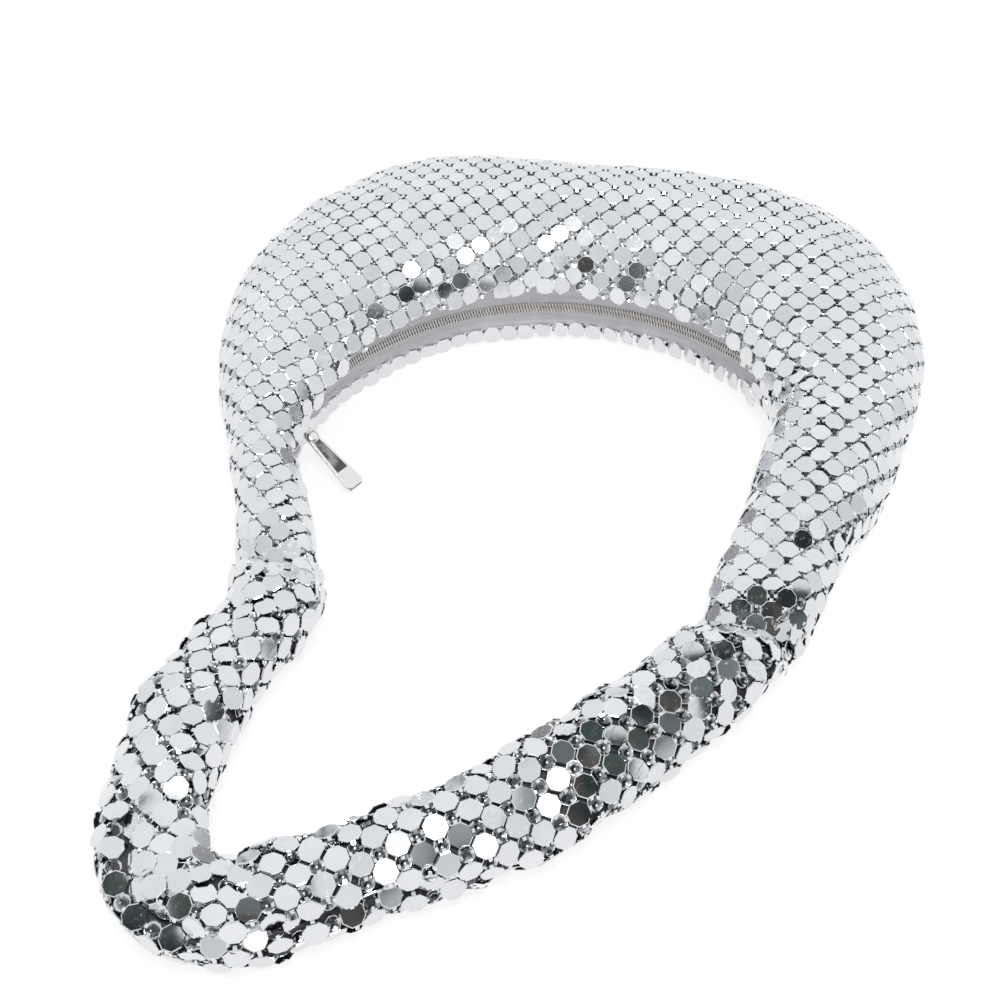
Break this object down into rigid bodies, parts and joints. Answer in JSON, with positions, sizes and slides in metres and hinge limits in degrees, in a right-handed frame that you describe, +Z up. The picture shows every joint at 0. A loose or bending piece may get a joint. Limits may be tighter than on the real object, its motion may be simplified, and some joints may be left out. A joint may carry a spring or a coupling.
{
  "type": "evening clutch",
  "caption": "Crescent evening bag of linked metal plaques with a zipped mouth, a slider with a bar pull, and a looped mesh handle.",
  "frame": {"origin": "on the ground under the middle of the bag's footprint, with the bag lying on its back panel", "axes": "+Z up, +Y from the handle towards the belly of the pouch, +X to the right as the mouth is looked into"},
  "size_m": [0.2498, 0.3128, 0.0494],
  "materials": {
    "plaque_mesh": "polished silver plaques linked by rings",
    "core": "soft round wadding cord",
    "lining": "satin",
    "zip_tape": "woven satin tape",
    "zip_coil": "pale metallic coated coil",
    "zip_metal": "polished nickel",
    "pull_metal": "polished nickel with a darker recess"
  },
  "bodies": {
    "bag": {"front_panel": "plaque_mesh", "back_panel": "plaque_mesh", "lining_front": "lining", "lining_back": "lining", "lining_end_left": "lining", "lining_end_right": "lining", "zip_tape_upper": "zip_tape", "zip_tape_lower": "zip_tape", "zip_coil_upper": "zip_coil", "zip_coil_lower": "zip_coil", "zip_top_stop_upper": "zip_metal", "zip_top_stop_lower": "zip_metal", "zip_bottom_stop": "zip_metal"},
    "handle": {"handle_mesh": "plaque_mesh", "handle_core": "core"},
    "zip_slider": {"slider_body": "zip_metal", "slider_bridge": "zip_metal"},
    "zip_pull": {"pull_tab": "pull_metal"}
  },
  "joints": [
    {"name": "handle_fold", "type": "hinge", "parent": "bag", "child": "handle", "pos_m": [-0.01008, -0.04415, 0.011], "axis": [-0.9848, 0.1736, 0], "range_deg": [0, 60]},
    {"name": "zip_travel", "type": "hinge", "parent": "bag", "child": "zip_slider", "pos_m": [-0.00213, 0.00093, 0.013], "axis": [0, 0, -1], "range_deg": [0, 113]},
    {"name": "pull_swing", "type": "hinge", "parent": "zip_slider", "child": "zip_pull", "pos_m": [-0.08394, 0.03007, 0.013], "axis": [-0.6691, -0.7431, 0], "range_deg": [0, 60]}
  ]
}
